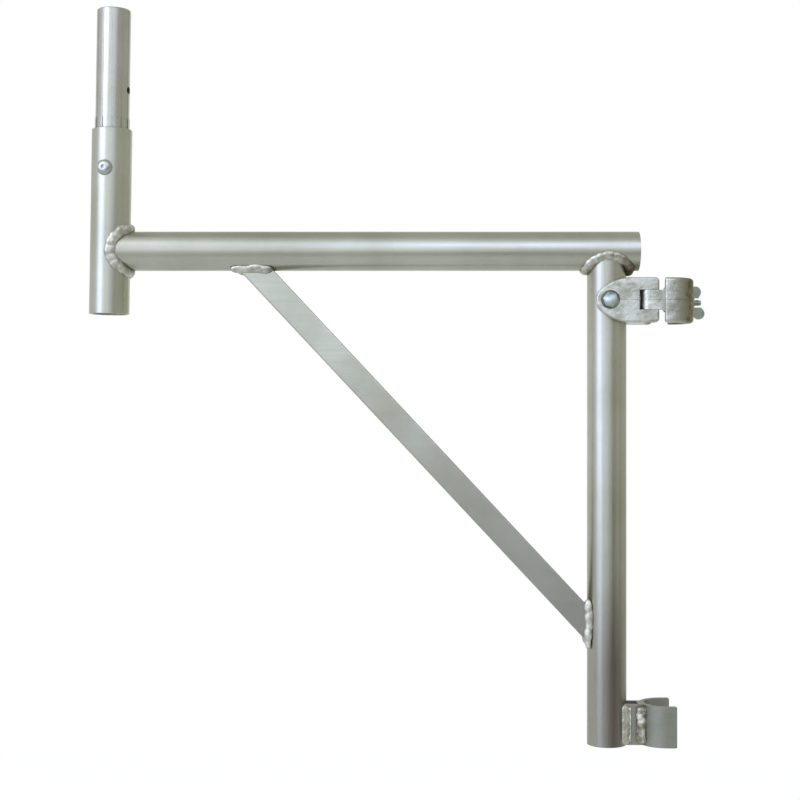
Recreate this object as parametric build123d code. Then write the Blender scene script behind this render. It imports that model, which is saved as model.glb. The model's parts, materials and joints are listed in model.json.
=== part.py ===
from build123d import *
import math
import os

# Scaffold bracket: a welded tube frame with a spigot post, a hinged clamp and a lower stop.
# The origin lies on the axis of the clamp's bore, at the clamp's mid-height. +Z runs up
# that axis, and the arm reaches away from it along -X.
# All sizes are in millimetres and all angles in degrees.

# Bore of the clamp and the saddle, and its distance from the bracket's own leg
scaffold_leg_d = 50.8
seat_clearance = 0.1
leg_spacing = 73.1

# Arm and leg tubes
frame_tube_d = 50.0
frame_tube_wall = 3.2
arm_height = 63.7
arm_end_gap = 33.0
leg_foot_z = -562.9
cope_trim = 6.0

# Post sleeve and spigot, in a frame of their own that leans towards the leg
sleeve_offset = 704.9
sleeve_lean = 0.95
sleeve_d = 50.8
sleeve_wall = 3.2
sleeve_below_arm = 80.2
sleeve_above_arm = 154.3
tube_end_chamfer = 0.6
spigot_clearance = 0.3
spigot_wall = 3.2
spigot_turned_down = 0.6
spigot_ribbed_length = 14.0
spigot_stand = 152.2
spigot_socket = 95.0
spigot_lead_in = 1.2
groove_count = 12
groove_width = 2.4
groove_depth = 0.95
groove_angle = 9.0
post_clock = -10.0
lock_hole_d = 9.7
lock_hole_above_sleeve = 49.7
rivet_below_sleeve_top = 51.0
rivet_shank_d = 9.6
rivet_head_d = 20.0
rivet_head_height = 4.4
rivet_mandrel_d = 4.8
rivet_clearance = 0.1

# Brace, a rectangular tube between the arm and the leg
brace_width = 31.75
brace_depth = 25.4
brace_wall = 3.2
brace_corner_r = 2.0
brace_arm_offset = 541.3
brace_leg_drop = 500.2

# Weld beads
ring_bead_r = 6.4
ring_bead_sink = 2.6
ring_crotch_r = 17.0
ring_front_r = 12.5
collar_bead = 5.4
collar_end = 7.2
spacer_leg_bead_r = 9.5
spacer_leg_bead_back = 1.9
spacer_leg_bead_out = 0.8
spacer_saddle_bead_r = 6.3
spacer_saddle_bead_back = 2.2
spacer_saddle_bead_out = 2.8

# Lower stop, a half-round saddle with straight arms on a short spacer
stop_foot_rise = 1.0
stop_height = 51.6
saddle_clearance = 0.3
saddle_wall = 5.8
saddle_reach = 11.0
saddle_corner_r = 1.5
spacer_width = 25.4
spacer_wall = 3.2

# Clamp body
clamp_height = 56.6
cheek_thickness = 9.4
leg_seat_clearance = 0.1
nose_r = 17.6
flare_end = 28.0
body_ear_end = 11.6
ear_corner_r = 5.0
cast_edge_r = 2.4
hinge_slot_height = 25.2
hinge_slot_side = 12.7
hinge_slot_depth = 20.0
parting_line_width = 0.9
parting_line_height = 0.25
bolt_recess_d = 24.0
bolt_recess_depth = 5.0

# Clamp flap
flap_wall = 11.3
flap_height = 56.6
flap_edge_r = 4.5
flap_front_angle = -97.8
flap_sweep = 168.0
knuckle_r = 9.2
knuckle_height = 24.6
knuckle_seat_gap = 0.3
knuckle_proud = 0.2
neck_flare_r = 3.0
flap_ear_height = 30.0
flap_ear_inner_x = 12.0
flap_ear_tip = 6.6
flap_ear_nose_r = 8.0
flap_ear_stand = 5.5

# Swing bolt, washer and wing nut
pin_d = 8.0
running_clearance = 0.06
swing_bolt_d = 8.0
swing_bolt_gap = 2.0
swing_bolt_end_x = 53.0
bolt_eye_r = 8.5
bolt_eye_height = 10.0
bolt_slot_clearance = 0.4
bolt_ear_wall = 9.5
bolt_ear_height = 32.0
bolt_swing_max = 145.0
ear_slot_clearance = 0.6
nut_slack = 2.0
washer_r = 8.0
washer_thickness = 1.6
washer_bore_clearance = 0.3
hub_base_r = 8.0
hub_tip_r = 6.3
hub_height = 6.5
hub_washer_gap = 0.1
wing_lobe_r = 7.5
wing_centre_r = 13.8
wing_thickness = 4.0
upper_wing_x = 45.5
lower_wing_x = 50.0
wing_neck = 7.0
wing_root_rise = 4.0
wing_notch_r = 6.0
wing_notch_lift = 0.4

# Cross bolt through the cheeks and the leg
cross_bolt_d = 10.0
cross_bolt_clearance = 0.5
cross_bolt_af = 17.0
cross_bolt_head = 6.4
cross_bolt_crown = 1.1
cross_bolt_turn = 12.0
cross_nut_height = 10.0
cross_nut_collar = 3.2
cross_washer_r = 10.0
cross_washer_thickness = 2.0
cross_bolt_past_nut = 3.0

# Worked out from the sizes above
frame_r = frame_tube_d / 2
leg_x = -leg_spacing
seat_r = scaffold_leg_d / 2 + seat_clearance
leg_seat_r = frame_r + leg_seat_clearance
cheek_y = leg_seat_r + cheek_thickness
sleeve_r = sleeve_d / 2
sleeve_bore_r = sleeve_r - sleeve_wall
spigot_r = sleeve_bore_r - spigot_clearance
spigot_turned_r = spigot_r - spigot_turned_down
spigot_bore_r = spigot_r - spigot_wall
spigot_top = sleeve_above_arm + spigot_stand
rivet_hole_r = rivet_shank_d / 2 + rivet_clearance
brace_run = brace_arm_offset - leg_spacing
hinge_y = -(cheek_y + knuckle_proud - knuckle_r)
hinge_x = -math.sqrt((seat_r + knuckle_seat_gap + knuckle_r) ** 2 - hinge_y ** 2)
flap_outer_r = seat_r + flap_wall
swing_y = seat_r + swing_bolt_d / 2 + swing_bolt_gap
pivot_x = hinge_x
ear_seat_x = math.sqrt(flap_outer_r ** 2 - (swing_y - washer_r) ** 2) + flap_ear_stand
washer_x = ear_seat_x + nut_slack
hub_x = washer_x + washer_thickness + hub_washer_gap
stop_foot_z = leg_foot_z + stop_foot_rise
stop_top_z = stop_foot_z + stop_height
saddle_inner_r = scaffold_leg_d / 2 + saddle_clearance
saddle_outer_r = saddle_inner_r + saddle_wall
spacer_half = spacer_width / 2
spacer_leg_corner = leg_x + math.sqrt(frame_r ** 2 - spacer_half ** 2)
spacer_saddle_corner = -math.sqrt(saddle_outer_r ** 2 - spacer_half ** 2)

upright = Pos(-sleeve_offset, 0, arm_height) * Rot(0, sleeve_lean, 0)
along_x = Rot(0, 90, 0)
along_y = Rot(-90, 0, 0)
far = 2 * sleeve_offset


# Basic shapes
def rod(radius, low, high):
    return Pos(0, 0, (low + high) / 2) * Cylinder(radius, high - low)


def block(x_span, y_span, z_span):
    spans = (x_span, y_span, z_span)
    centre = [(low + high) / 2 for low, high in spans]
    size = [high - low for low, high in spans]
    return Pos(*centre) * Box(*size)


def hex_prism(across_flats, low, high):
    outline = RegularPolygon(across_flats / 2, 6, major_radius=False)
    return Pos(0, 0, low) * extrude(outline, high - low)


# Outer forms that other pieces are coped to
def sleeve_form():
    return upright * rod(sleeve_r, -sleeve_below_arm, sleeve_above_arm)


def arm_form():
    return Pos(0, 0, arm_height) * along_x * rod(frame_r, -sleeve_offset, -arm_end_gap)


def leg_form():
    return Pos(leg_x, 0, 0) * rod(frame_r, leg_foot_z, arm_height - cope_trim)


def brace_plane():
    slope = Vector(brace_run, 0, -brace_leg_drop).normalized()
    return Plane(origin=(-brace_arm_offset, 0, arm_height), x_dir=(0, 1, 0), z_dir=slope)


def brace_form():
    outline = RectangleRounded(brace_depth, brace_width, brace_corner_r)
    return extrude(brace_plane() * outline, math.hypot(brace_run, brace_leg_drop))


# Upright post
def post_sleeve():
    wall = rod(sleeve_r, -sleeve_below_arm, sleeve_above_arm)
    wall -= rod(sleeve_bore_r, -sleeve_below_arm, sleeve_above_arm)
    rims = wall.edges().filter_by(GeomType.CIRCLE)
    wall = chamfer(rims, tube_end_chamfer)
    return upright * (wall - rivet_holes())


def rivet_holes():
    height = sleeve_above_arm - rivet_below_sleeve_top
    return Rot(0, 0, post_clock) * Pos(0, 0, height) * along_y * rod(rivet_hole_r, -far, far)


def post_spigot():
    foot = sleeve_above_arm - spigot_socket
    shoulder = sleeve_above_arm + spigot_ribbed_length
    wall = rod(spigot_r, foot, shoulder) + rod(spigot_turned_r, shoulder, spigot_top)
    top_rim = wall.edges().filter_by(GeomType.CIRCLE).sort_by(Axis.Z)[-1]
    wall = chamfer(top_rim, spigot_lead_in)
    wall -= rod(spigot_bore_r, foot, spigot_top)
    floor_r = spigot_r - groove_depth
    groove = block((floor_r, floor_r + groove_width), (-groove_width / 2, groove_width / 2), (foot, spigot_top))
    step = 360 / groove_count
    for index in range(groove_count):
        wall -= Rot(0, 0, groove_angle + index * step) * groove
    hole_height = sleeve_above_arm + lock_hole_above_sleeve
    wall -= Rot(0, 0, post_clock) * Pos(0, 0, hole_height) * along_x * rod(lock_hole_d / 2, -far, far)
    return upright * (wall - rivet_holes())


def blind_rivet():
    head_base = math.sqrt(sleeve_r ** 2 - (rivet_head_d / 2) ** 2)
    head_rim = sleeve_r + rivet_mandrel_d / 20
    head_top = sleeve_r + rivet_head_height
    bulb_r = 0.68 * rivet_shank_d
    bulb_base = spigot_bore_r - rivet_shank_d / 2
    dome = Line((0, head_base), (rivet_head_d / 2, head_base))
    dome += Line((rivet_head_d / 2, head_base), (rivet_head_d / 2, head_rim))
    dome += TangentArc((rivet_head_d / 2, head_rim), (0, head_top), tangent=(-0.25, 1))
    dome += Line((0, head_top), (0, head_base))
    rivet = revolve(Plane.XZ * make_face(dome), Axis.Z)
    rivet += rod(rivet_shank_d / 2, bulb_base, head_base)
    rivet += rod(bulb_r, bulb_base, spigot_bore_r)
    return rivet - rod(rivet_mandrel_d / 2, head_top - rivet_mandrel_d / 4, head_top + 1)


def spigot_rivets(sleeve, spigot):
    height = sleeve_above_arm - rivet_below_sleeve_top
    pair = []
    for side in (-90, 90):
        place = upright * Rot(0, 0, post_clock + side) * Pos(0, 0, height) * along_x
        pair.append(place * blind_rivet() - sleeve - spigot)
    return pair


# Frame tubes
def arm_tube():
    bore = Pos(0, 0, arm_height) * along_x * rod(frame_r - frame_tube_wall, -far, far)
    return arm_form() - bore - sleeve_form()


def leg_tube():
    bore = Pos(leg_x, 0, 0) * rod(frame_r - frame_tube_wall, -far, far)
    bolt_hole = Pos(leg_x, 0, 0) * along_y * rod(cross_bolt_d / 2 + cross_bolt_clearance, -far, far)
    return leg_form() - bore - arm_form() - bolt_hole


def brace():
    inner = RectangleRounded(brace_depth - 2 * brace_wall, brace_width - 2 * brace_wall, brace_corner_r / 2)
    hollow = extrude(brace_plane() * inner, math.hypot(brace_run, brace_leg_drop))
    return brace_form() - hollow - arm_form() - leg_form()


# Weld beads. The seam of two crossed tubes lies in two planes at 45 degrees to both. A bead
# follows it round each crotch, and turns from one plane to the other on the tubes' flanks.
def round_bead(path):
    section = Plane(origin=path @ 0, z_dir=path % 0) * Circle(ring_bead_r)
    return sweep(section, path=path)


def saddle_bead(post_r):
    side = frame_r - ring_bead_sink
    run = math.hypot(post_r, frame_r) - ring_crotch_r - ring_front_r
    side_r = (run ** 2 + side ** 2 - ring_crotch_r ** 2) / (2 * (side - ring_crotch_r))
    turn = math.degrees(math.atan2(side_r - side, run))
    flank = CenterArc((ring_front_r, side - side_r), side_r, turn, 90 - turn)
    crotch = CenterArc((ring_front_r + run, 0), ring_crotch_r, -turn, 2 * turn)
    half = round_bead(Wire([flank.edge(), crotch.edge(), mirror(flank, Plane.XZ).edge()]))
    bead = Rot(0, -45, 0) * half + Rot(0, 45, 0) * half
    front = Plane.XZ * CenterArc((math.sqrt(2) * ring_front_r, 0), ring_front_r, 135, 90)
    for y in (-side, side):
        bead += Pos(0, y, 0) * round_bead(front.edge())
    return bead


def sleeve_weld():
    bead = Pos(-sleeve_offset, 0, arm_height) * saddle_bead(sleeve_r)
    return bead - sleeve_form() - arm_form()


def elbow_weld():
    bead = Pos(leg_x, 0, arm_height) * along_x * saddle_bead(frame_r)
    return bead - arm_form() - leg_form()


def soft_slab(x_span, y_span, z_span):
    slab = block(x_span, y_span, z_span)
    return fillet(slab.edges(), collar_bead * 0.8)


def brace_top_weld():
    slope = brace_run / brace_leg_drop
    half_chord = brace_width / 2 * math.hypot(1, slope)
    half_y = brace_depth / 2 + collar_bead
    joint_z = arm_height - math.sqrt(frame_r ** 2 - (brace_depth / 2) ** 2)
    low_z = joint_z - 1.6 * collar_bead
    high_z = arm_height - math.sqrt(frame_r ** 2 - half_y ** 2)
    centre_x = -brace_arm_offset + (arm_height - (low_z + high_z) / 2) * slope
    reach = half_chord + collar_end
    slab = soft_slab((centre_x - reach, centre_x + reach), (-half_y, half_y), (low_z, high_z))
    return slab - arm_form() - brace_form()


def brace_foot_weld():
    slope = brace_leg_drop / brace_run
    half_chord = brace_width / 2 * math.hypot(1, slope)
    half_y = brace_depth / 2 + collar_bead
    joint_x = leg_x - math.sqrt(frame_r ** 2 - (brace_depth / 2) ** 2)
    low_x = joint_x - 1.8 * collar_bead
    high_x = leg_x - math.sqrt(frame_r ** 2 - half_y ** 2)
    brace_foot_z = arm_height - brace_leg_drop
    centre_z = brace_foot_z + (leg_x - (low_x + high_x) / 2) * slope
    reach = half_chord + collar_end
    slab = soft_slab((low_x, high_x), (-half_y, half_y), (centre_z - reach, centre_z + reach))
    return slab - leg_form() - brace_form()


def stop_bead(radius, x, y):
    bead = rod(radius, stop_foot_z, stop_top_z)
    ends = bead.edges().filter_by(GeomType.CIRCLE)
    return Pos(x, y, 0) * chamfer(ends, radius / 3)


def spacer_leg_welds():
    x = spacer_leg_corner - spacer_leg_bead_back
    y = spacer_half + spacer_leg_bead_out
    beads = [stop_bead(spacer_leg_bead_r, x, side * y) for side in (-1, 1)]
    return [bead - leg_form() - spacer_form() for bead in beads]


def spacer_saddle_welds():
    x = spacer_saddle_corner - spacer_saddle_bead_back
    y = spacer_half + spacer_saddle_bead_out
    beads = [stop_bead(spacer_saddle_bead_r, x, side * y) for side in (-1, 1)]
    return [bead - saddle_form() - spacer_form() for bead in beads]


# Lower stop
def saddle_form():
    pipe = rod(saddle_outer_r, stop_foot_z, stop_top_z)
    pipe -= block((0, far), (-far, far), (-far, far))
    arms = block((0, saddle_reach), (-saddle_outer_r, saddle_outer_r), (stop_foot_z, stop_top_z))
    ends = arms.edges().filter_by(Axis.Y).group_by(Axis.X)[-1]
    return pipe + fillet(ends, saddle_corner_r)


def stop_saddle():
    way = rod(saddle_inner_r, -far, far)
    way += block((0, far), (-saddle_inner_r, saddle_inner_r), (-far, far))
    return saddle_form() - way


def spacer_form():
    form = block((leg_x, 0), (-spacer_half, spacer_half), (stop_foot_z, stop_top_z))
    return form - leg_form() - rod(saddle_outer_r, -far, far)


def stop_spacer():
    half = spacer_half - spacer_wall
    hollow = block((leg_x, -saddle_outer_r - spacer_wall), (-half, half), (-far, far))
    return spacer_form() - hollow


# Clamp body
def body_outline():
    top = clamp_height / 2
    flare_x = leg_x + flare_end
    flare_r = (flare_end ** 2 + top ** 2 - nose_r ** 2) / (2 * (top - nose_r))
    turn = math.degrees(math.atan2(flare_end, flare_r - top))
    upper_flare = CenterArc((flare_x, top - flare_r), flare_r, 90, turn)
    rim = CenterArc((leg_x, 0), nose_r, 90 + turn, 180 - 2 * turn)
    rim += upper_flare + mirror(upper_flare, Plane.XZ)
    rim += Polyline((flare_x, top), (-body_ear_end, top), (-body_ear_end, -top), (flare_x, -top))
    outline = make_face(rim)
    corners = outline.vertices().group_by(Axis.X)[-1]
    return fillet(corners, ear_corner_r)


def clamp_body():
    body = extrude(Plane.XZ * body_outline(), cheek_y, both=True)
    faces = body.faces().filter_by(Axis.Y)
    rims = faces[0].edges() + faces[1].edges()
    body = fillet(rims, cast_edge_r)
    half_line = parting_line_width / 2
    line_y = cheek_y + parting_line_height
    line_ends = (leg_x - nose_r + cast_edge_r, -body_ear_end - cast_edge_r)
    body += block(line_ends, (-line_y, line_y), (-half_line, half_line))
    half_ear = bolt_ear_height / 2
    body += Pos(pivot_x, swing_y, 0) * rod(bolt_ear_wall, -half_ear, half_ear)
    body -= rod(seat_r, -far, far)
    body -= Pos(leg_x, 0, 0) * rod(leg_seat_r, -far, far)
    body -= block((-far, leg_x), (-leg_seat_r, leg_seat_r), (-far, far))
    body -= hinge_slot()
    body -= bolt_slot()
    body -= Pos(hinge_x, hinge_y, 0) * rod(pin_d / 2, -far, far)
    body -= Pos(pivot_x, swing_y, 0) * rod(pin_d / 2, -half_ear, half_ear)
    body -= cross_bolt_hole()
    return body


def hinge_slot():
    half = hinge_slot_height / 2
    back = hinge_y - far
    return block((hinge_x - hinge_slot_side, far), (back, -cheek_y + hinge_slot_depth), (-half, half))


def bolt_slot():
    half = bolt_eye_height / 2 + bolt_slot_clearance
    eye_room = bolt_eye_r + bolt_slot_clearance
    shank_room = swing_bolt_d / 2 + bolt_slot_clearance
    slot = Pos(pivot_x, swing_y, 0) * rod(eye_room, -half, half)
    slot += block((pivot_x, far), (swing_y - eye_room, far), (-half, half))
    swept = block((-shank_room, far), (-shank_room, shank_room), (-half, half))
    steps = 6
    for index in range(1, steps + 1):
        turn = 90 + (bolt_swing_max - 90) * index / steps
        slot += Pos(pivot_x, swing_y, 0) * Rot(0, 0, turn) * swept
    return slot


def cross_bolt_hole():
    floor = cheek_y - bolt_recess_depth
    hole = rod(cross_bolt_d / 2 + cross_bolt_clearance, -far, far)
    hole += rod(bolt_recess_d / 2, floor, far)
    hole += rod(bolt_recess_d / 2, -far, -floor)
    return Pos(leg_x, 0, 0) * along_y * hole


# Clamp flap
def clamp_flap():
    half = flap_height / 2
    section = Pos((seat_r + flap_outer_r) / 2, 0) * Rectangle(flap_wall, flap_height)
    section = fillet(section.vertices().group_by(Axis.X)[-1], flap_edge_r)
    band = revolve(Plane.XZ * section, Axis.Z, revolution_arc=flap_sweep)
    front_rim = band.faces().filter_by(Axis.Y)[0].edges().sort_by(Axis.X)[1:]
    band = fillet(front_rim, cast_edge_r)
    flap = Rot(0, 0, flap_front_angle) * band
    flap += flap_parting_line() + flap_ear() + flap_neck()
    half_knuckle = knuckle_height / 2
    flap += Pos(hinge_x, hinge_y, 0) * rod(knuckle_r, -half_knuckle, half_knuckle)
    flap -= rod(seat_r, -far, far)
    flap -= Pos(hinge_x, hinge_y, 0) * rod(pin_d / 2 + running_clearance, -far, far)
    return flap - flap_slot()


def flap_parting_line():
    inset = math.degrees(cast_edge_r / flap_outer_r)
    section = Pos(flap_outer_r, 0) * Rectangle(2 * parting_line_height, parting_line_width)
    ridge = revolve(Plane.XZ * section, Axis.Z, revolution_arc=flap_sweep - 2 * inset)
    return Rot(0, 0, flap_front_angle + inset) * ridge


def flap_neck():
    half = knuckle_height / 2
    flap_face_x = flap_outer_r * math.cos(math.radians(flap_front_angle))
    neck_end = flap_face_x + flap_edge_r / 2
    outline = Pos((hinge_x + neck_end) / 2, 0) * Rectangle(neck_end - hinge_x, 2 * half)
    flare_start = flap_face_x - neck_flare_r
    flare_half = half + neck_flare_r
    outline += Pos((flare_start + neck_end) / 2, 0) * Rectangle(neck_end - flare_start, 2 * flare_half)
    for z in (-flare_half, flare_half):
        outline -= Pos(flare_start, z) * Circle(neck_flare_r)
    return Pos(0, hinge_y, 0) * extrude(Plane.XZ * outline, knuckle_r, both=True)


def flap_ear():
    half = flap_ear_height / 2
    tip = swing_y + flap_ear_tip
    ear = block((flap_ear_inner_x, ear_seat_x), (seat_r / 2, tip), (-half, half))
    corner = ear.edges().filter_by(Axis.Z).group_by(Axis.Y)[-1].sort_by(Axis.X)[-1]
    return fillet(corner, flap_ear_nose_r)


def flap_slot():
    half = swing_bolt_d / 2 + ear_slot_clearance
    slot = Pos(0, swing_y, 0) * along_x * rod(half, 0, far)
    return slot + block((0, far), (swing_y, far), (-half, half))


# Pins, bolts and nuts
def flap_pin():
    half = clamp_height / 2 - tube_end_chamfer
    return Pos(hinge_x, hinge_y, 0) * rod(pin_d / 2, -half, half)


def swing_bolt_pin():
    half = bolt_ear_height / 2
    return Pos(pivot_x, swing_y, 0) * rod(pin_d / 2, -half, half)


def swing_bolt():
    half = bolt_eye_height / 2
    eye = Pos(pivot_x, swing_y, 0) * rod(bolt_eye_r, -half, half)
    shank = Pos(0, swing_y, 0) * along_x * rod(swing_bolt_d / 2, pivot_x, swing_bolt_end_x)
    tip = shank.edges().filter_by(GeomType.CIRCLE).sort_by(Axis.X)[-1]
    shank = chamfer(tip, swing_bolt_d / 10)
    bore = Pos(pivot_x, swing_y, 0) * rod(pin_d / 2 + running_clearance, -far, far)
    return eye + shank - bore


def bolt_washer():
    ring = rod(washer_r, washer_x, washer_x + washer_thickness)
    ring -= rod(swing_bolt_d / 2 + washer_bore_clearance, -far, far)
    return Pos(0, swing_y, 0) * along_x * ring


def wing_nut():
    side = Polyline(
        (0, hub_x), (hub_base_r, hub_x), (hub_tip_r, hub_x + hub_height), (0, hub_x + hub_height), (0, hub_x)
    )
    hub = Pos(0, swing_y, 0) * along_x * revolve(Plane.XZ * make_face(side), Axis.Z)
    nut = hub + wing(upper_wing_x, wing_centre_r) + wing(lower_wing_x, -wing_centre_r)
    bore = rod(swing_bolt_d / 2 + running_clearance, -far, far)
    return nut - Pos(0, swing_y, 0) * along_x * bore


def wing(centre_x, centre_z):
    notch_x = hub_x + hub_height + wing_notch_lift
    lobe = Pos(centre_x, centre_z) * Circle(wing_lobe_r)
    root = Pos(hub_x + wing_root_rise, 0) * Rectangle(wing_neck, wing_neck)
    blade = make_hull(lobe.edges() + root.edges())
    blade -= Pos(notch_x, 0) * Circle(wing_notch_r)
    blade -= Pos(notch_x + far / 2, 0) * Rectangle(far, 2 * wing_notch_r)
    plate = extrude(Plane.XZ * blade, wing_thickness / 2, both=True)
    return Pos(0, swing_y, 0) * plate


def cross_bolt():
    seat = cheek_y - bolt_recess_depth + cross_washer_thickness
    end = seat + cross_nut_height + cross_bolt_past_nut
    head = Rot(0, 0, cross_bolt_turn) * hex_prism(cross_bolt_af, -seat - cross_bolt_head, -seat)
    blank = rod(cross_bolt_af / math.sqrt(3), -seat - cross_bolt_head, -seat)
    crown = blank.edges().filter_by(GeomType.CIRCLE).sort_by(Axis.Z)[0]
    head &= chamfer(crown, cross_bolt_crown)
    shank = rod(cross_bolt_d / 2, -seat, end)
    tip = shank.edges().filter_by(GeomType.CIRCLE).sort_by(Axis.Z)[-1]
    return Pos(leg_x, 0, 0) * along_y * (head + chamfer(tip, cross_bolt_d / 10))


def cross_bolt_washers():
    floor = cheek_y - bolt_recess_depth
    ring = rod(cross_washer_r, floor, floor + cross_washer_thickness)
    ring -= rod(cross_bolt_d / 2 + cross_bolt_clearance / 2, -far, far)
    place = Pos(leg_x, 0, 0) * along_y
    return [place * ring, place * Rot(180, 0, 0) * ring]


def cross_bolt_nut():
    seat = cheek_y - bolt_recess_depth + cross_washer_thickness
    flats = seat + cross_nut_height - cross_nut_collar
    nut = hex_prism(cross_bolt_af, seat, flats)
    nut += rod(cross_bolt_af / 2 - 1, flats, seat + cross_nut_height)
    nut -= rod(cross_bolt_d / 2, -far, far)
    return Pos(leg_x, 0, 0) * along_y * nut


def build_nodes():
    sleeve = post_sleeve()
    spigot = post_spigot()
    return {
        "post_sleeve": sleeve,
        "post_spigot": spigot,
        "spigot_rivets": spigot_rivets(sleeve, spigot),
        "arm_tube": arm_tube(),
        "leg_tube": leg_tube(),
        "brace": brace(),
        "sleeve_weld": sleeve_weld(),
        "elbow_weld": elbow_weld(),
        "brace_top_weld": brace_top_weld(),
        "brace_foot_weld": brace_foot_weld(),
        "stop_spacer": stop_spacer(),
        "stop_saddle": stop_saddle(),
        "spacer_leg_welds": spacer_leg_welds(),
        "spacer_saddle_welds": spacer_saddle_welds(),
        "clamp_body": clamp_body(),
        "clamp_flap": clamp_flap(),
        "flap_pin": flap_pin(),
        "swing_bolt": swing_bolt(),
        "swing_bolt_pin": swing_bolt_pin(),
        "bolt_washer": bolt_washer(),
        "wing_nut": wing_nut(),
        "cross_bolt": cross_bolt(),
        "cross_bolt_washers": cross_bolt_washers(),
        "cross_bolt_nut": cross_bolt_nut(),
    }


os.makedirs("parts", exist_ok=True)
for name, shape in build_nodes().items():
    solids = shape if isinstance(shape, list) else [shape]
    export_step(Compound(children=[solid for item in solids for solid in item.solids()]), f"parts/{name}.step")
    print(name, "volume", round(sum(item.volume for item in solids), 1))
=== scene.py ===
import json
import math
import random

import bpy
from mathutils import Matrix, Vector


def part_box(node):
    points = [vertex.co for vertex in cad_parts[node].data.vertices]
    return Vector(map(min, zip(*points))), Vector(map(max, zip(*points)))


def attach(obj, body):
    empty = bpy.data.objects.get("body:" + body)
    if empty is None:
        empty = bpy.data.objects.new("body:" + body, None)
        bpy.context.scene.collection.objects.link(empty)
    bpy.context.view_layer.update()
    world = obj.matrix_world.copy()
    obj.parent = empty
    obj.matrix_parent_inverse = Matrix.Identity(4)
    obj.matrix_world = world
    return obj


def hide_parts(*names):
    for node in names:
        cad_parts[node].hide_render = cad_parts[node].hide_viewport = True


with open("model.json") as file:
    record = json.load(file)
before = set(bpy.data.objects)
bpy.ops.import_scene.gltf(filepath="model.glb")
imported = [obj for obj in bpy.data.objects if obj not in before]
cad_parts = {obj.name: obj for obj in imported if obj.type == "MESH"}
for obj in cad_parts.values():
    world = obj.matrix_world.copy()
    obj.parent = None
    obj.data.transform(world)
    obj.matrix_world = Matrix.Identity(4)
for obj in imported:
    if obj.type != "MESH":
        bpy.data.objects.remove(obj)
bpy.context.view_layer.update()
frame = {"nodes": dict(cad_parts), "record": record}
nodes = frame["nodes"]
print("frame loaded:", len(nodes), "nodes")

mm = 0.001


# Helpers for modelling by hand
def deselectAll():
    if bpy.context.object and bpy.context.object.mode != "OBJECT":
        bpy.ops.object.mode_set(mode="OBJECT")
    bpy.ops.object.select_all(action="DESELECT")


def pick(*pieces):
    deselectAll()
    for piece in pieces:
        piece.select_set(True)
    bpy.context.view_layer.objects.active = pieces[-1]


def joinPieces(*pieces):
    pick(*pieces)
    bpy.ops.object.join()
    return bpy.context.object


def bake(piece):
    pick(piece)
    bpy.ops.object.transform_apply(location=True, rotation=True, scale=True)


def applyModifiers(piece):
    pick(piece)
    for modifier in list(piece.modifiers):
        bpy.ops.object.modifier_apply(modifier=modifier.name)


def paint(piece, material):
    piece.data.materials.clear()
    piece.data.materials.append(material)


# Camera at the photograph's place, looking level along +Y
photoCamera = {
    "place": (-0.3361, -1.9095, -0.1268),
    "turn": (90, 0, 0),
    "lens": 67.5,
    "sensor": 36,
    "frame": 800,  # pixels
    "axisRow": 401,  # pixel row that the lens points at
}


def addCamera():
    turn = [math.radians(angle) for angle in photoCamera["turn"]]
    bpy.ops.object.camera_add(location=photoCamera["place"], rotation=turn)
    camera = bpy.context.object
    camera.name = "photoCamera"
    camera.data.lens = photoCamera["lens"]
    camera.data.sensor_width = photoCamera["sensor"]
    rows = photoCamera["frame"]
    camera.data.shift_y = (photoCamera["axisRow"] - rows / 2) / rows
    bpy.context.scene.camera = camera


# Nodes for the materials and the world
def addRamp(tree, source, stops):
    ramp = tree.nodes.new("ShaderNodeValToRGB")
    elements = ramp.color_ramp.elements
    while len(elements) < len(stops):
        elements.new(0.5)
    for element, (place, color) in zip(elements, stops):
        element.position = place
        element.color = (*color, 1)
    tree.links.new(source, ramp.inputs["Fac"])
    return ramp.outputs["Color"]


def addNoise(tree, vector, scale, detail, roughness):
    noise = tree.nodes.new("ShaderNodeTexNoise")
    noise.inputs["Scale"].default_value = scale
    noise.inputs["Detail"].default_value = detail
    noise.inputs["Roughness"].default_value = roughness
    tree.links.new(vector, noise.inputs["Vector"])
    return noise.outputs["Fac"]


def addMapping(tree, stretch=(1, 1, 1), turn=(0, 0, 0)):
    coordinates = tree.nodes.new("ShaderNodeTexCoord")
    mapping = tree.nodes.new("ShaderNodeMapping")
    mapping.inputs["Scale"].default_value = stretch
    mapping.inputs["Rotation"].default_value = [math.radians(angle) for angle in turn]
    tree.links.new(coordinates.outputs["Object"], mapping.inputs["Vector"])
    return mapping.outputs["Vector"]


def addMix(tree, factor, first, second, blend="MIX"):
    mix = tree.nodes.new("ShaderNodeMix")
    mix.data_type = "RGBA"
    mix.blend_type = blend
    for socket, value in (("Factor", factor), ("A", first), ("B", second)):
        target = [s for s in mix.inputs if s.name == socket and s.enabled][0]
        if hasattr(value, "node"):
            tree.links.new(value, target)
        elif socket == "Factor":
            target.default_value = value
        else:
            target.default_value = (*value, 1)
    return [s for s in mix.outputs if s.enabled][0]


def addMath(tree, operation, *sources):
    step = tree.nodes.new("ShaderNodeMath")
    step.operation = operation
    for source, target in zip(sources, step.inputs):
        tree.links.new(source, target)
    return step.outputs[0]


def addRange(tree, source, fromLow, fromHigh, toLow, toHigh):
    mapRange = tree.nodes.new("ShaderNodeMapRange")
    mapRange.inputs["From Min"].default_value = fromLow
    mapRange.inputs["From Max"].default_value = fromHigh
    mapRange.inputs["To Min"].default_value = toLow
    mapRange.inputs["To Max"].default_value = toHigh
    tree.links.new(source, mapRange.inputs["Value"])
    return mapRange.outputs["Result"]


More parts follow.
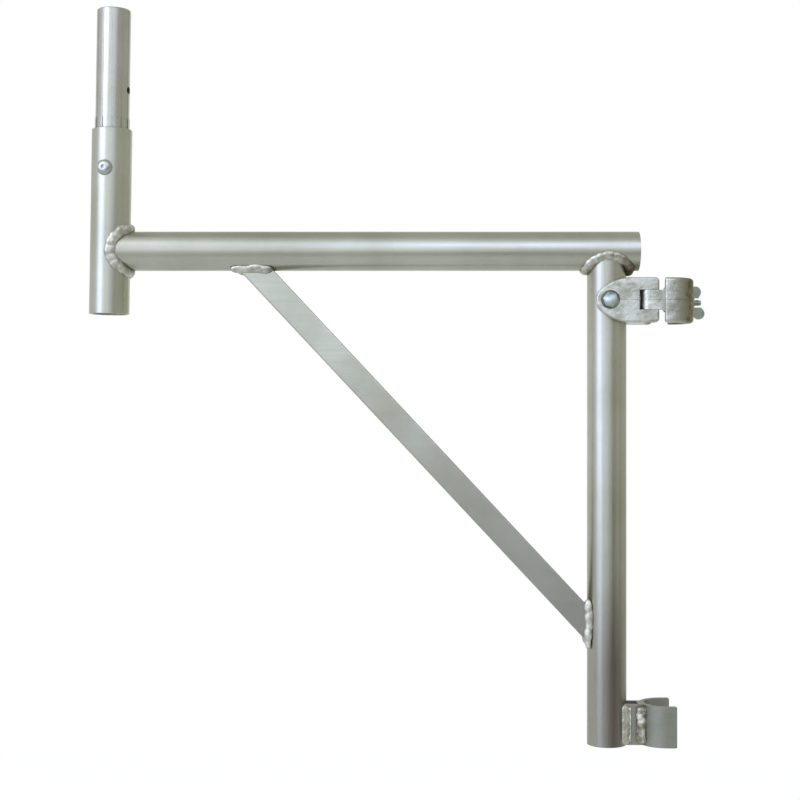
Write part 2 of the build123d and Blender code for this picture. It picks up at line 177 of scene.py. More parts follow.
def addBump(tree, height, strength, distance, under=None):
    bump = tree.nodes.new("ShaderNodeBump")
    bump.inputs["Strength"].default_value = strength
    bump.inputs["Distance"].default_value = distance
    tree.links.new(height, bump.inputs["Height"])
    if under is not None:
        tree.links.new(under, bump.inputs["Normal"])
    return bump.outputs["Normal"]


# Stains and painted shades that grow along the axes. Each is a colour, its full share, and for
# each axis where it starts and where it is full. The shares of several axes are multiplied.
def addSpread(tree, vector, spreads):
    split = tree.nodes.new("ShaderNodeSeparateXYZ")
    tree.links.new(vector, split.inputs["Vector"])
    share = None
    for axis, start, end in spreads:
        step = addRange(tree, split.outputs[axis], start, end, 0, 1)
        share = addMath(tree, "MULTIPLY", share, step) if share else step
    return share


def addStainsAndShades(tree, color, vector, stainsAndShades):
    for markColor, share, spreads in stainsAndShades:
        spread = addRange(tree, addSpread(tree, vector, spreads), 0, 1, 0, share)
        color = addMix(tree, spread, color, markColor)
    return color


# Painted shade: seams and corners darkened in a dark brown, by how closed in they are
cornerShade = {
    "color": (0.1, 0.085, 0.06),
    "reach": 5 * mm,
    "samples": 6,
    "closed": 0.3,  # openness of a corner that has the full share
    "open": 0.8,  # and of one that has none
    "share": 0.6,
}


# Painted shade: darkens the colour where the surface is closed in (ambient occlusion)
def addCornerShade(tree, color):
    corner = tree.nodes.new("ShaderNodeAmbientOcclusion")
    corner.samples = cornerShade["samples"]
    corner.inputs["Distance"].default_value = cornerShade["reach"]
    openness = corner.outputs["AO"]
    share = addRange(tree, openness, cornerShade["closed"], cornerShade["open"], cornerShade["share"], 0)
    return addMix(tree, share, color, cornerShade["color"])


# In all finishes a noise is its scale, detail and roughness, a bump its strength and depth,
# and a spread the values of the noise between which the colour changes
noiseReach = (0.3, 0.7)


def newMaterial(name):
    material = bpy.data.materials.new(name)
    material.use_nodes = True
    shader = material.node_tree.nodes["Principled BSDF"]
    shader.inputs["Metallic"].default_value = 1
    return material, material.node_tree, shader


def addTint(tree, noise, spread, look):
    low, high = spread
    return addRamp(tree, noise, [(low, look["dull"]), (high, look["light"])])


def finishShader(tree, shader, color, noise, roughness, normal):
    tree.links.new(color, shader.inputs["Base Color"])
    tree.links.new(addRange(tree, noise, *noiseReach, *roughness), shader.inputs["Roughness"])
    tree.links.new(normal, shader.inputs["Normal"])


# Drawn and extruded aluminium: long die lines, soft blotches and a few rubbed nicks
tubeLook = {
    "grain": "Z",  # the die lines run along this axis, after the turn in degrees
    "turn": (0, 0, 0),
    "light": (0.58, 0.587, 0.51),
    "dull": (0.48, 0.485, 0.4),
    "roughness": (0.25, 0.37),
    "lines": (420, 4, 0.6),
    "lineStretch": 0.02,
    "lineSpread": (0.35, 0.7),
    "lineShare": 0.28,
    "lineBump": (0.25, 0.12 * mm),
    "blotches": (9, 5, 0.6),
    "blotchSpread": (0.32, 0.62),
    "nicks": (60, 6, 0.7),
    "nickSpread": (0.66, 0.74),
    "nickColor": (0.33, 0.33, 0.3),
    "nickShare": 0.35,
    "nickBump": (0.12, 0.4 * mm),
    "stainsAndShades": [],
}
# Painted reflection: leg and brace darker towards their lower ends, and a brown band low on
# the leg's front
lowPaintedShade = ((0.32, 0.325, 0.27), 0.6, [("Z", -0.16, -0.5)])
braceLowShade = ((0.31, 0.3, 0.28), 0.75, [("Z", -0.06, -0.42)])
# Painted dark reflection: a brown stripe on the leg's front, low down
legDarkReflection = ((0.13, 0.1, 0.09), 0.72, [
    ("Z", -0.33, -0.46), ("X", -0.091, -0.07), ("X", -0.05, -0.064), ("Y", 0, -0.012),
])
tubeFinishes = {
    "arm_tube": ("armAluminium", {"grain": "X"}),
    "leg_tube": ("legAluminium", {"stainsAndShades": [lowPaintedShade, legDarkReflection]}),
    "post_sleeve": ("sleeveAluminium", {}),
    "post_spigot": ("spigotAluminium", {
        "light": (0.62, 0.625, 0.6),
        "roughness": (0.24, 0.34),
    }),
    "brace": ("braceAluminium", {
        "grain": "X",
        "turn": (0, 46.9, 0),  # slope of the brace
        "light": (0.63, 0.65, 0.58),
        "roughness": (0.3, 0.42),
        "stainsAndShades": [braceLowShade],
    }),
    # Painted shade: the spacer and the saddle are darker copies of the aluminium, for the dim
    # light low down
    "stop_spacer": ("spacerAluminiumShaded", {
        "light": (0.38, 0.38, 0.32),
        "dull": (0.28, 0.28, 0.22),
        "roughness": (0.42, 0.55),
    }),
    "stop_saddle": ("saddleAluminiumShaded", {
        "grain": "X",
        "light": (0.36, 0.372, 0.31),
        "dull": (0.28, 0.29, 0.23),
        "roughness": (0.45, 0.58),
    }),
}


def tubeMaterial(name, look):
    look = {**tubeLook, **look}
    material, tree, shader = newMaterial(name)
    stretch = [look["lineStretch"] if axis == look["grain"] else 1 for axis in "XYZ"]
    lines = addNoise(tree, addMapping(tree, stretch, look["turn"]), *look["lines"])
    plain = addMapping(tree)
    blotches = addNoise(tree, plain, *look["blotches"])
    nicks = addNoise(tree, plain, *look["nicks"])
    color = addTint(tree, blotches, look["blotchSpread"], look)
    lineShare = addRange(tree, lines, *look["lineSpread"], 0, look["lineShare"])
    color = addMix(tree, lineShare, color, look["dull"])
    nickShare = addRange(tree, nicks, *look["nickSpread"], 0, look["nickShare"])
    color = addMix(tree, nickShare, color, look["nickColor"])
    # Painted shade and reflection from the look's list, then painted shade in the corners
    color = addCornerShade(tree, addStainsAndShades(tree, color, plain, look["stainsAndShades"]))
    fine = addBump(tree, lines, *look["lineBump"])
    normal = addBump(tree, nicks, *look["nickBump"], fine)
    finishShader(tree, shader, color, lines, look["roughness"], normal)
    return material


# Sand-cast aluminium of the clamp: grainy skin, mottled, and browner towards the wing nut.
# A stain runs from grey to brown along X, where its patches follow the mottle.
castLook = {
    "light": (0.74, 0.755, 0.69),
    "dull": (0.45, 0.46, 0.38),
    "roughness": (0.33, 0.55),
    "mottle": (55, 6, 0.65),
    "mottleSpread": (0.38, 0.56),
    "lumps": (130, 4, 0.6),
    "lumpBump": (0.5, 2 * mm),
    "skin": (420, 5, 0.65),
    "skinBump": (0.35, 0.4 * mm),
    "stainColors": [(0.45, (0.3, 0.285, 0.23)), (0.95, (0.14, 0.105, 0.025))],
    "stainPatches": (0.34, 0.6),
    "stainLeast": 0.45,  # share left between the patches
    "partingWidth": 0.45 * mm,
    "partingShare": 0.4,
}
castFinishes = {
    "clamp_body": ("castClampBody", {"stainReach": (-0.06, -0.01), "stainShare": 0.3}),
    "clamp_flap": ("castClampFlap", {"stainReach": (-0.006, 0.027), "stainShare": 0.97}),
}


def castMaterial(name, look):
    look = {**castLook, **look}
    material, tree, shader = newMaterial(name)
    plain = addMapping(tree)
    mottle = addNoise(tree, plain, *look["mottle"])
    lumps = addNoise(tree, plain, *look["lumps"])
    skin = addNoise(tree, plain, *look["skin"])
    color = addTint(tree, mottle, look["mottleSpread"], look)

    along = addSpread(tree, plain, [("X", *look["stainReach"])])
    full = look["stainShare"]
    patches = addRange(tree, mottle, *look["stainPatches"], full * look["stainLeast"], full)
    markColor = addRamp(tree, along, look["stainColors"])
    color = addMix(tree, addMath(tree, "MULTIPLY", along, patches), color, markColor)

    split = tree.nodes.new("ShaderNodeSeparateXYZ")
    tree.links.new(plain, split.inputs["Vector"])
    height = addMath(tree, "ABSOLUTE", split.outputs["Z"])
    width = look["partingWidth"]
    parting = addRange(tree, height, width / 2, width, look["partingShare"], 0)
    # The dark parting line, then painted shade in the corners
    color = addCornerShade(tree, addMix(tree, parting, color, cornerShade["color"]))

    soft = addBump(tree, lumps, *look["lumpBump"])
    normal = addBump(tree, skin, *look["skinBump"], soft)
    finishShader(tree, shader, color, skin, look["roughness"], normal)
    return material


# Weld metal, bright with a frosted skin, with burnt patches and scorched ends
weldLook = {
    "light": (0.76, 0.765, 0.68),
    "dull": (0.52, 0.51, 0.42),
    "burnt": (0.24, 0.19, 0.11),
    "burntShare": 0.4,
    "roughness": (0.36, 0.5),
    "frost": (120, 4, 0.5),
    "frostSpread": (0.35, 0.58),
    "frostBump": (0.25, 0.3 * mm),
    "smoke": (90, 4, 0.6),
    "smokeSpread": (0.42, 0.66),
    "scorches": [],
}
elbowScorch = ((0.16, 0.12, 0.07), 0.8, [("X", -0.06, -0.045)])
topScorch = ((0.1, 0.08, 0.06), 0.85, [("X", -0.508, -0.494)])


def weldMaterial(name, look=None):
    look = {**weldLook, **(look or {})}
    material, tree, shader = newMaterial(name)
    plain = addMapping(tree)
    frost = addNoise(tree, plain, *look["frost"])
    smoke = addNoise(tree, plain, *look["smoke"])
    color = addTint(tree, frost, look["frostSpread"], look)
    burntShare = addRange(tree, smoke, *look["smokeSpread"], 0, look["burntShare"])
    color = addMix(tree, burntShare, color, look["burnt"])
    # Scorches, then painted shade in the corners
    color = addCornerShade(tree, addStainsAndShades(tree, color, plain, look["scorches"]))
    normal = addBump(tree, frost, *look["frostBump"])
    finishShader(tree, shader, color, frost, look["roughness"], normal)
    return material


# Zinc plate on the bolts and nuts, plain steel of the pins and bright rivets: a cloudy tint
platedLook = {
    "cloud": (180, 5, 0.6),
    "cloudSpread": (0.35, 0.62),
    "cloudBump": (0.2, 0.3 * mm),
}
rivetLook = {"light": (0.6, 0.62, 0.6), "dull": (0.45, 0.46, 0.42), "roughness": (0.3, 0.42)}
pinLook = {"light": (0.5, 0.49, 0.46), "dull": (0.36, 0.34, 0.3), "roughness": (0.32, 0.46)}
zincLook = {"light": (0.56, 0.65, 0.61), "dull": (0.4, 0.47, 0.44), "roughness": (0.38, 0.5)}
# Painted shade: the washers darker, for the shade in the bolt head's recess
washerShadeLook = {"light": (0.4, 0.4, 0.35), "dull": (0.26, 0.25, 0.2), "roughness": (0.45, 0.6)}
swingLook = {"light": (0.42, 0.52, 0.47), "dull": (0.3, 0.37, 0.33), "roughness": (0.28, 0.4)}
wingLook = {"light": (0.36, 0.4, 0.33), "dull": (0.26, 0.29, 0.22), "roughness": (0.38, 0.52)}


def platedMaterial(name, look):
    look = {**platedLook, **look}
    material, tree, shader = newMaterial(name)
    cloud = addNoise(tree, addMapping(tree), *look["cloud"])
    color = addTint(tree, cloud, look["cloudSpread"], look)
    normal = addBump(tree, cloud, *look["cloudBump"])
    finishShader(tree, shader, color, cloud, look["roughness"], normal)
    return material


# Studio: a plain room with soft glows on the left, above the camera and right of it, dim
# patches low in front and on the right, and a white floor and background. Each glow or
# shade is (azimuth, elevation) and (inner, outer) reach in degrees, and a colour.
studio = {
    "room": (0.5, 0.505, 0.44),
    "background": (1, 1, 1),
    "glows": [
        ((-30, 25), (0, 62), (0.41, 0.45, 0.6)),
        ((-48, 6), (8, 24), (0.72, 0.81, 1.36)),
        ((-48, 24), (8, 24), (0.72, 0.81, 1.36)),
        ((18, 32), (8, 24), (0.98, 1.1, 1.72)),
        ((-6, 8), (3, 15), (0.25, 0.3, 0.28)),
        ((-110, 0), (15, 45), (0.22, 0.22, 0.28)),
    ],
    "shades": [
        ((35, -14), (4, 22), (0.36, 0.38, 0.35)),
        ((5, -15), (3, 16), (0.18, 0.18, 0.16)),
        ((75, -12), (3, 18), (0.18, 0.18, 0.16)),
        ((-25, -17), (3, 14), (0.22, 0.22, 0.2)),
    ],
    "backTurn": (180, 0),  # the part of the white background that metal mirrors
    "backReach": (12, 45),
    "lampTurn": (-46, 34),
    "lampDistance": 3.0,
    "lampSize": 1.5,
    "lampPower": 12,
    "lampColor": (0.9, 0.95, 1),
    "target": (-0.35, 0, -0.1),
    "floorHeight": -0.95,
    "floorSize": 3.2,
    "floorPaint": (0.85, 0.85, 0.84),
    "floorShadow": 0.08,
    "floorWhite": 1.03,
}


def aim(azimuth, elevation):
    turn, rise = math.radians(azimuth), math.radians(elevation)
    level = math.cos(rise)
    return Vector((math.sin(turn) * level, -math.cos(turn) * level, math.sin(rise)))


def addLobe(tree, direction, toward, reach):
    dot = tree.nodes.new("ShaderNodeVectorMath")
    dot.operation = "DOT_PRODUCT"
    tree.links.new(direction, dot.inputs[0])
    dot.inputs[1].default_value = toward
    inner, outer = [math.cos(math.radians(angle)) for angle in reach]
    lobe = tree.nodes.new("ShaderNodeMapRange")
    lobe.interpolation_type = "SMOOTHSTEP"
    lobe.inputs["From Min"].default_value = outer
    lobe.inputs["From Max"].default_value = inner
    tree.links.new(dot.outputs["Value"], lobe.inputs["Value"])
    return lobe.outputs["Result"]


def addWorld():
    world = bpy.data.worlds.new("studioRoom")
    bpy.context.scene.world = world
    world.use_nodes = True
    tree = world.node_tree
    tree.nodes.clear()
    direction = tree.nodes.new("ShaderNodeTexCoord").outputs["Generated"]
    room = studio["room"]
    for lobes, blend in ((studio["glows"], "ADD"), (studio["shades"], "SUBTRACT")):
        for turn, reach, color in lobes:
            share = addLobe(tree, direction, aim(*turn), reach)
            room = addMix(tree, 1, room, addMix(tree, share, (0, 0, 0), color), blend)
    # Seen by the camera and through glass, and mirrored by metal where it lies behind it
    path = tree.nodes.new("ShaderNodeLightPath").outputs
    behind = addLobe(tree, direction, aim(*studio["backTurn"]), studio["backReach"])
    mirrored = addMath(tree, "MULTIPLY", path["Is Glossy Ray"], behind)
    seen = addMath(tree, "MAXIMUM", path["Is Camera Ray"], path["Is Transmission Ray"])
    seen = addMath(tree, "MAXIMUM", seen, mirrored)
    room = addMix(tree, seen, room, studio["background"])
    background = tree.nodes.new("ShaderNodeBackground")
    tree.links.new(room, background.inputs["Color"])
    output = tree.nodes.new("ShaderNodeOutputWorld")
    tree.links.new(background.outputs[0], output.inputs["Surface"])


def addLamp():
    toward = aim(*studio["lampTurn"])
    place = Vector(studio["target"]) + toward * studio["lampDistance"]
    turn = toward.to_track_quat("Z", "Y").to_euler()
    bpy.ops.object.light_add(type="AREA", location=place, rotation=turn)
    lamp = bpy.context.object
    lamp.name = "softLamp"
    lamp.data.shape = "SQUARE"
    lamp.data.size = studio["lampSize"]
    lamp.data.energy = studio["lampPower"]
    lamp.data.color = studio["lampColor"]


# The camera sees the floor white, with a little of its shaded paint for the shadow
def addFloor():
    place = (0, 0, studio["floorHeight"])
    bpy.ops.mesh.primitive_plane_add(size=studio["floorSize"], location=place)
    floor = bpy.context.object
    floor.name = "paleFloor"
    material = bpy.data.materials.new("paleFloorPaint")
    material.use_nodes = True
    tree = material.node_tree
    tree.nodes.clear()
    diffuse = tree.nodes.new("ShaderNodeBsdfDiffuse")
    diffuse.inputs["Color"].default_value = (*studio["floorPaint"], 1)
    white = tree.nodes.new("ShaderNodeEmission")
    white.inputs["Color"].default_value = (*studio["background"], 1)
    white.inputs["Strength"].default_value = studio["floorWhite"]
    path = tree.nodes.new("ShaderNodeLightPath")
    share = addRange(tree, path.outputs["Is Camera Ray"], 0, 1, 0, 1 - studio["floorShadow"])
    mix = tree.nodes.new("ShaderNodeMixShader")
    tree.links.new(share, mix.inputs[0])
    tree.links.new(diffuse.outputs[0], mix.inputs[1])
    tree.links.new(white.outputs[0], mix.inputs[2])
    output = tree.nodes.new("ShaderNodeOutputMaterial")
    tree.links.new(mix.outputs[0], output.inputs["Surface"])
    paint(floor, material)


# Sizes read back from the frame, for the beads that follow the joints
def boxOf(node):
    low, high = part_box(node)
    return {"low": low, "high": high, "middle": (low + high) / 2, "size": high - low}


tubeRadius = boxOf("arm_tube")["size"].z / 2
armAxis = boxOf("arm_tube")["middle"].z
legAxis = boxOf("leg_tube")["middle"].x
braceDepth = boxOf("brace")["size"].y


# The post leans, so its place at the arm's height is found from the spigot's mount
def sleevePlace(height):
    spigot = [m for m in frame["record"]["mounts"] if m["name"] == "spigot"][0]
    place, axis = Vector(spigot["pos_m"]), Vector(spigot["axis"])
    return round(place.x - axis.x / axis.z * (place.z - height), 5)


# A weld bead is a row of flattened, overlapping dabs, melted together. Sizes of the dabs
# are shares of the bead's radius, and "height" is how far they stand off the tube.
beadLook = {
    "spacing": 1.3,
    "length": 1.35,
    "height": 0.58,
    "wander": 0.12,
    "dabSides": 24,
    "dabRings": 14,
    "voxel": 0.65 * mm,
    "easing": 9,
    "easeShare": 0.5,
    "rippleDepth": 0.3 * mm,
    "rippleSize": 4 * mm,
}


def evenPoints(points, spacing):
    closed = (points[0] - points[-1]).length < spacing / 100
    spans = [(b - a).length for a, b in zip(points, points[1:])]
    total = sum(spans)
    count = max(2, round(total / spacing) + (0 if closed else 1))
    placed = []
    for index in range(count):
        target = total * index / (count if closed else count - 1)
        for a, b, span in zip(points, points[1:], spans):
            if target <= span or b is points[-1]:
                placed.append((a.lerp(b, min(1, target / span)), (b - a).normalized()))
                break
            target -= span
    return placed


def addDab(place, along, normal, radius, look, dice):
    deselectAll()
    bpy.ops.mesh.primitive_uv_sphere_add(
        segments=look["dabSides"], ring_count=look["dabRings"], radius=radius, location=place
    )
    dab = bpy.context.object
    across = along.cross(normal).normalized()
    normal = across.cross(along)
    dab.rotation_euler = Matrix((normal, across, along)).transposed().to_euler()
    wander = look["wander"]
    jitter = [1 + dice.uniform(-wander, wander) for _ in range(3)]
    # Dabs in the crotch stay round, and those on the flanks lie flat
    height = look["height"] + (1 - look["height"]) * (1 - abs(normal.y)) ** 2
    dab.scale = (height * jitter[0], jitter[1], look["length"] * jitter[2])
    return dab, across


def weldBead(name, path, radius, seed, normalAt, look=None, sizeAt=None):
    look = {**beadLook, **(look or {})}
    dice = random.Random(seed)
    dabs = []
    for place, along in evenPoints(path, look["spacing"] * radius):
        share = sizeAt(place) if sizeAt else 1
        dab, across = addDab(place, along, normalAt(place), radius * share, look, dice)
        dab.location += across * dice.uniform(-look["wander"], look["wander"]) * radius
        dabs.append(dab)
    bead = joinPieces(*dabs)
    bead.name = name
    bake(bead)
    melt = bead.modifiers.new("melt", "REMESH")
    melt.mode = "VOXEL"
    melt.voxel_size = look["voxel"]
    ease = bead.modifiers.new("ease", "SMOOTH")
    ease.iterations = look["easing"]
    ease.factor = look["easeShare"]
    ripples = bpy.data.textures.new(name + "Ripples", "CLOUDS")
    ripples.noise_scale = look["rippleSize"]
    uneven = bead.modifiers.new("uneven", "DISPLACE")
    uneven.texture = ripples
    uneven.texture_coords = "LOCAL"
    uneven.strength = look["rippleDepth"]
    applyModifiers(bead)
    bpy.ops.object.shade_smooth()
    return bead


def joinNode(bead, node, material):
    paint(bead, material)
    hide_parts(node)
    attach(bead, "frame")


# Ring bead where one tube is coped over another. It lies on the through tube beside the
# seam, in a round nose on the flanks ("vertex" past the tube's axis), and drops into the
# crotch. "lift" is how far it stays outside the seam, and "steps" the points to a side.
ringBead = {"lift": 6 * mm, "crotchLift": 2 * mm, "steps": 48}
sleeveBead = {"vertex": 4.2 * mm, "radius": 7.4 * mm, "seed": 11}
elbowBead = {"vertex": 8.6 * mm, "radius": 6.9 * mm, "seed": 23}


def ringPath(place, outward, along, vertex):
    lift, crotchLift, steps = ringBead["lift"], ringBead["crotchLift"], ringBead["steps"]
    nose = (vertex + lift) / (math.sqrt(2) - 1)
    noseEnd = nose / math.sqrt(2) - lift
    start = math.acos(vertex / tubeRadius)
    points = []
    for sign in (1, -1):
        for step in range(steps):
            turn = sign * start * (2 * step / steps - 1)
            reach = tubeRadius * math.cos(turn)
            if reach < noseEnd:
                noseRun = nose * math.sqrt(2) - lift - reach
                rise = math.sqrt(max(0, nose ** 2 - noseRun ** 2))
            else:
                drop = ((reach - noseEnd) / (tubeRadius - noseEnd)) ** 2
                rise = reach + lift - (lift - crotchLift) * drop
            flank = Vector((0, tubeRadius * math.sin(turn), 0))
            points.append(place + outward * reach + flank + along * sign * rise)
    points.append(points[0].copy())
    return points


def ringWeld(name, node, place, outward, along, settings, material):
    def normalAt(point):
        flank = Vector((0, point.y - place.y, 0))
        return (outward * (point - place).dot(outward) + flank).normalized()

    path = ringPath(place, outward, along, settings["vertex"])
    bead = weldBead(name, path, settings["radius"], settings["seed"], normalAt)
    joinNode(bead, node, material)


# Bead round the end of the brace: an oblong that follows the round tube. The seam's length
# comes from the frame. "ends" is how far the bead's line stays inside it, "outset" how far
# the bead stands off the tube, and at the seam's ends it is smaller and dips back.
collarBead = {
    "radius": 6.2 * mm,
    "flank": 0.3 * mm,
    "steps": 12,
    "endSize": 0.32,
    "endDip": 1.2,
    "sideFacing": 2,  # the dabs face the flank, the tube's outside and away from the middle
    "outwardFacing": 0.5,
    "awayFacing": 0.5,
    "tipSize": 0.45,
    "tipLength": 18 * mm,
}
topCollar = {
    "ends": 10 * mm,
    "shift": -1.8 * mm,
    "outset": 2.0 * mm,
    "seed": 31,
    "look": {"spacing": 1.8, "length": 1.9, "height": 0.64, "wander": 0.14, "easing": 12},
}
footCollar = {
    "ends": 8.5 * mm,
    "outset": 3.6 * mm,
    "seed": 47,
    "look": {"spacing": 1.7, "length": 2.0, "height": 0.62, "wander": 0.16, "easing": 14},
}


def collarPath(centre, run, half, outward, outset):
    side = Vector((0, 1, 0))
    flank = braceDepth / 2 + collarBead["flank"]
    corners = [(-half, -flank), (half, -flank), (half, flank), (-half, flank), (-half, -flank)]
    points = []
    for (u0, v0), (u1, v1) in zip(corners, corners[1:]):
        for step in range(collarBead["steps"]):
            share = step / collarBead["steps"]
            u = u0 + (u1 - u0) * share
            v = v0 + (v1 - v0) * share
            stand = outset * (1 - collarBead["endDip"] * (1 - abs(v) / flank))
            reach = math.sqrt(tubeRadius ** 2 - v ** 2) + stand
            points.append(centre + run * u + side * v + outward * reach)
    points.append(points[0].copy())
    return points


def collarWeld(name, node, centre, run, length, outward, settings, material, tipZ=None):
    halfDepth = braceDepth / 2

    def normalAt(point):
        side = Vector((0, point.y / halfDepth, 0)) * collarBead["sideFacing"]
        away = (point - centre).normalized() * collarBead["awayFacing"]
        return (side + outward * collarBead["outwardFacing"] + away).normalized()

    def sizeAt(point):
        flankShare = min(1, abs(point.y) / halfDepth) ** 2
        size = collarBead["endSize"] + (1 - collarBead["endSize"]) * flankShare
        if tipZ is not None:
            tipShare = (point.z - tipZ) / collarBead["tipLength"]
            size *= min(1, collarBead["tipSize"] + (1 - collarBead["tipSize"]) * tipShare)
        return size

    half = length / 2 - settings["ends"]
    path = collarPath(centre, run, half, outward, settings["outset"])
    radius, seed, look = collarBead["radius"], settings["seed"], settings["look"]
    joinNode(weldBead(name, path, radius, seed, normalAt, look, sizeAt), node, material)


def braceWelds(topMaterial, footMaterial):
    seam = boxOf("brace_top_weld")
    collarWeld(
        "braceTopWeld", "brace_top_weld",
        Vector((seam["middle"].x + topCollar["shift"], 0, armAxis)), Vector((1, 0, 0)),
        seam["size"].x, Vector((0, 0, -1)), topCollar, topMaterial,
    )
    seam = boxOf("brace_foot_weld")
    collarWeld(
        "braceFootWeld", "brace_foot_weld",
        Vector((legAxis, 0, seam["middle"].z)), Vector((0, 0, 1)),
        seam["size"].z, Vector((-1, 0, 0)), footCollar, footMaterial, seam["low"].z,
    )


# Upright beads of the lower stop, at the frame's places for them. The wide bead on the leg
# has a thin rib beside it.
stopBead = {
    "endGap": 6.5 * mm,
    "sink": 1.5 * mm,
    "legRadius": 9.3 * mm,
    "legLean": 0.35,
    "legSeed": 61,
    "legLook": {
        "spacing": 0.5, "length": 0.75, "height": 0.62, "wander": 0.06,
        "rippleDepth": 0.9 * mm, "rippleSize": 9 * mm,
    },
    "ribRadius": 1.4 * mm,
    "ribPlace": (8.2 * mm, 1.2 * mm),
    "ribSeed": 97,
    "ribLook": {"spacing": 1.6, "length": 2.2, "height": 1, "wander": 0.3},
    "saddleRadius": 6.2 * mm,
    "saddleSeed": 83,
    "saddleLook": {
        "spacing": 0.5, "length": 0.7, "height": 0.8, "wander": 0.1,
        "rippleDepth": 1.1 * mm, "rippleSize": 3.5 * mm,
    },
}


def uprightBead(kind, seam, x, y, sign, lean=0):
    gap = stopBead["endGap"]
    path = [Vector((x, y, z)) for z in (seam["low"].z + gap, seam["high"].z - gap)]
    normal = Vector((lean, sign, 0)).normalized()
    radius, seed = stopBead[kind + "Radius"], stopBead[kind + "Seed"] + sign
    look = stopBead[kind + "Look"]
    return weldBead(kind + "Bead", path, radius, seed, lambda place: normal, look)


def stopWelds(legMaterial, saddleMaterial):
    legSeam, saddleSeam = boxOf("spacer_leg_welds"), boxOf("spacer_saddle_welds")
    legRadius, saddleRadius = stopBead["legRadius"], stopBead["saddleRadius"]
    ribAlong, ribOut = stopBead["ribPlace"]
    legX = legSeam["high"].x - legRadius
    saddleX = saddleSeam["low"].x + saddleRadius
    legBeads, saddleBeads = [], []
    for sign in (-1, 1):
        y = sign * (legSeam["size"].y / 2 - legRadius - stopBead["sink"])
        legBeads.append(uprightBead("leg", legSeam, legX, y, sign, stopBead["legLean"]))
        legBeads.append(uprightBead("rib", legSeam, legX + ribAlong, y + sign * ribOut, sign))
        y = sign * (saddleSeam["size"].y / 2 - saddleRadius)
        saddleBeads.append(uprightBead("saddle", saddleSeam, saddleX, y, sign))
    for name, node, beads, material in (
        ("spacerLegWelds", "spacer_leg_welds", legBeads, legMaterial),
        ("spacerSaddleWelds", "spacer_saddle_welds", saddleBeads, saddleMaterial),
    ):
        bead = joinPieces(*beads)
        bead.name = name
        joinNode(bead, node, material)


# Threaded ends: the plain end of the bolt is cut off at "start", measured from the frame's
# origin, and a core with a helical ridge takes its place
threadCut = {
    "coreSides": 48,
    "chamferSteps": 2,
    "sink": 0.5,  # foot of the ridge in the core, of the thread's depth
    "base": 0.86,  # width of the ridge, of the pitch
    "crest": 0.2,  # width at the crest, of that at the base
    "steps": 32,  # to a turn
    "endSides": 8,
    "smoothAngle": 35,
}
swingThread = {
    "start": 20 * mm,
    "radius": 4 * mm,
    "depth": 0.72 * mm,
    "pitch": 1.25 * mm,
    "chamfer": 0.8 * mm,
}
crossThread = {
    "start": 33 * mm,
    "radius": 5 * mm,
    "depth": 0.85 * mm,
    "pitch": 1.5 * mm,
    "chamfer": 1 * mm,
}


def threadCore(thread, root, length):
    deselectAll()
    bpy.ops.mesh.primitive_cylinder_add(
        vertices=threadCut["coreSides"], radius=root, depth=length, location=(0, 0, length / 2)
    )
    core = bpy.context.object
    bake(core)
    soften = core.modifiers.new("soften", "BEVEL")
    soften.width = thread["chamfer"] / 2
    soften.segments = threadCut["chamferSteps"]
    applyModifiers(core)
    return core


def threadRidge(thread, root, length):
    pitch, depth = thread["pitch"], thread["depth"]
    sink = depth * threadCut["sink"]
    place = (root + (depth - sink) / 2, 0, pitch / 2)
    deselectAll()
    bpy.ops.mesh.primitive_plane_add(size=1, location=place, rotation=(math.radians(90), 0, 0))
    ridge = bpy.context.object
    ridge.scale = (depth + sink, pitch * threadCut["base"], 1)
    bake(ridge)
    for vertex in ridge.data.vertices:
        if vertex.co.x > root:
            vertex.co.z = pitch / 2 + (vertex.co.z - pitch / 2) * threadCut["crest"]
    winding = ridge.modifiers.new("winding", "SCREW")
    winding.axis = "Z"
    winding.screw_offset = pitch
    winding.iterations = int((length - thread["chamfer"] - pitch) / pitch)
    winding.steps = threadCut["steps"]
    winding.render_steps = threadCut["steps"]
    winding.use_normal_calculate = True
    applyModifiers(ridge)
    bpy.ops.object.mode_set(mode="EDIT")
    bpy.ops.mesh.select_all(action="SELECT")
    bpy.ops.mesh.remove_doubles(threshold=0.01 * mm)
    bpy.ops.mesh.fill_holes(sides=threadCut["endSides"])
    bpy.ops.mesh.select_all(action="SELECT")
    bpy.ops.mesh.normals_make_consistent(inside=False)
    bpy.ops.object.mode_set(mode="OBJECT")
    return ridge


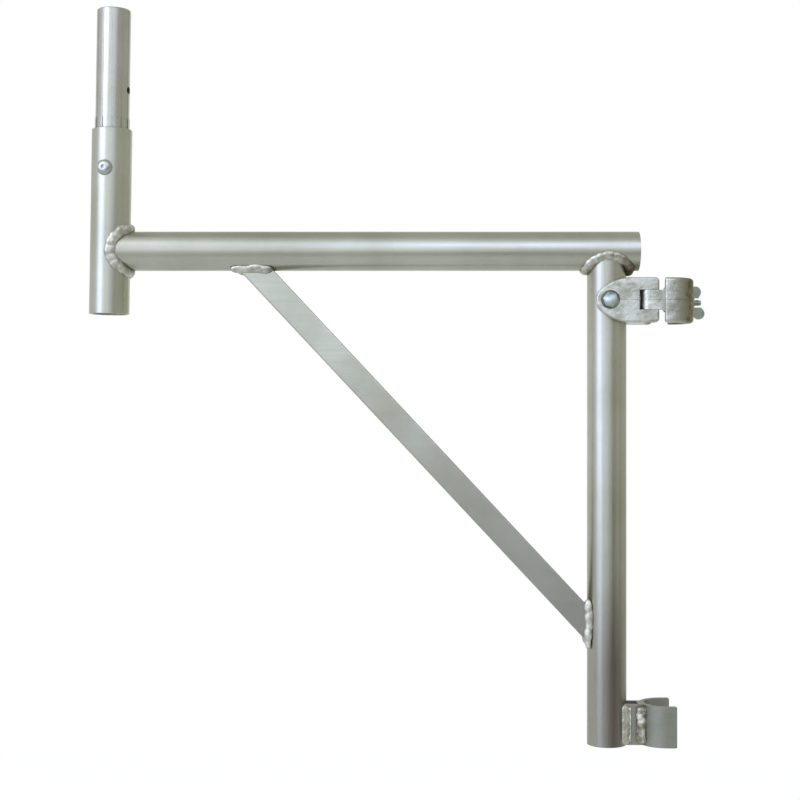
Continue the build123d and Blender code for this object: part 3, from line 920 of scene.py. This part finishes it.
def threadedBolt(name, node, body, axis, thread, material):
    box = boxOf(node)
    start = axis * thread["start"]
    end = max(box["high"].dot(axis), box["low"].dot(axis))
    deselectAll()
    bolt = nodes[node].copy()
    bolt.data = nodes[node].data.copy()
    bpy.context.collection.objects.link(bolt)
    pick(bolt)
    bpy.ops.object.mode_set(mode="EDIT")
    bpy.ops.mesh.select_all(action="SELECT")
    bpy.ops.mesh.remove_doubles(threshold=0.001 * mm)
    bpy.ops.mesh.bisect(plane_co=start, plane_no=axis, clear_outer=True, use_fill=True)
    bpy.ops.object.mode_set(mode="OBJECT")
    root = thread["radius"] - thread["depth"]
    length = end - thread["start"]
    core, ridge = threadCore(thread, root, length), threadRidge(thread, root, length)
    for part in (core, ridge):
        part.rotation_euler = axis.to_track_quat("Z", "Y").to_euler()
        part.location = box["middle"] - axis * box["middle"].dot(axis) + start
        bake(part)
    bolt = joinPieces(core, ridge, bolt)
    bolt.name = name
    bpy.ops.object.shade_smooth_by_angle(angle=math.radians(threadCut["smoothAngle"]))
    paint(bolt, material)
    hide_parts(node)
    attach(bolt, body)


addCamera()
addWorld()
addLamp()
addFloor()
print("studio ready")

for node, (name, look) in tubeFinishes.items():
    paint(nodes[node], tubeMaterial(name, look))
for node, (name, look) in castFinishes.items():
    paint(nodes[node], castMaterial(name, look))
for node in ("flap_pin", "swing_bolt_pin"):
    paint(nodes[node], platedMaterial(node + "Steel", pinLook))
paint(nodes["spigot_rivets"], platedMaterial("rivetAluminium", rivetLook))
# Painted shade: darker washers
paint(nodes["cross_bolt_washers"], platedMaterial("shadedWasher", washerShadeLook))
paint(nodes["wing_nut"], platedMaterial("wingNutPlate", wingLook))
zincPaint = platedMaterial("zincPlate", zincLook)
for node in ("cross_bolt_nut", "bolt_washer"):
    paint(nodes[node], zincPaint)
print("finishes on")

swingPaint = platedMaterial("darkZinc", swingLook)
threadedBolt("crossBolt", "cross_bolt", "frame", Vector((0, 1, 0)), crossThread, zincPaint)
threadedBolt("swingBolt", "swing_bolt", "bolt", Vector((1, 0, 0)), swingThread, swingPaint)
print("threads cut")

weldPaint = weldMaterial("weldMetal")
elbowPaint = weldMaterial("weldMetalElbow", {"scorches": [elbowScorch]})
topPaint = weldMaterial("weldMetalBraceTop", {"scorches": [topScorch]})
burntPaint = weldMaterial("weldMetalBurnt", {"burntShare": 1, "roughness": (0.55, 0.68)})
ringWeld(
    "sleeveWeld", "sleeve_weld", Vector((sleevePlace(armAxis), 0, armAxis)),
    Vector((1, 0, 0)), Vector((0, 0, 1)), sleeveBead, weldPaint,
)
ringWeld(
    "elbowWeld", "elbow_weld", Vector((legAxis, 0, armAxis)),
    Vector((0, 0, -1)), Vector((1, 0, 0)), elbowBead, elbowPaint,
)
braceWelds(topPaint, weldPaint)
stopWelds(weldPaint, burntPaint)
print("welds laid")

bpy.context.scene.view_settings.view_transform = "Standard"
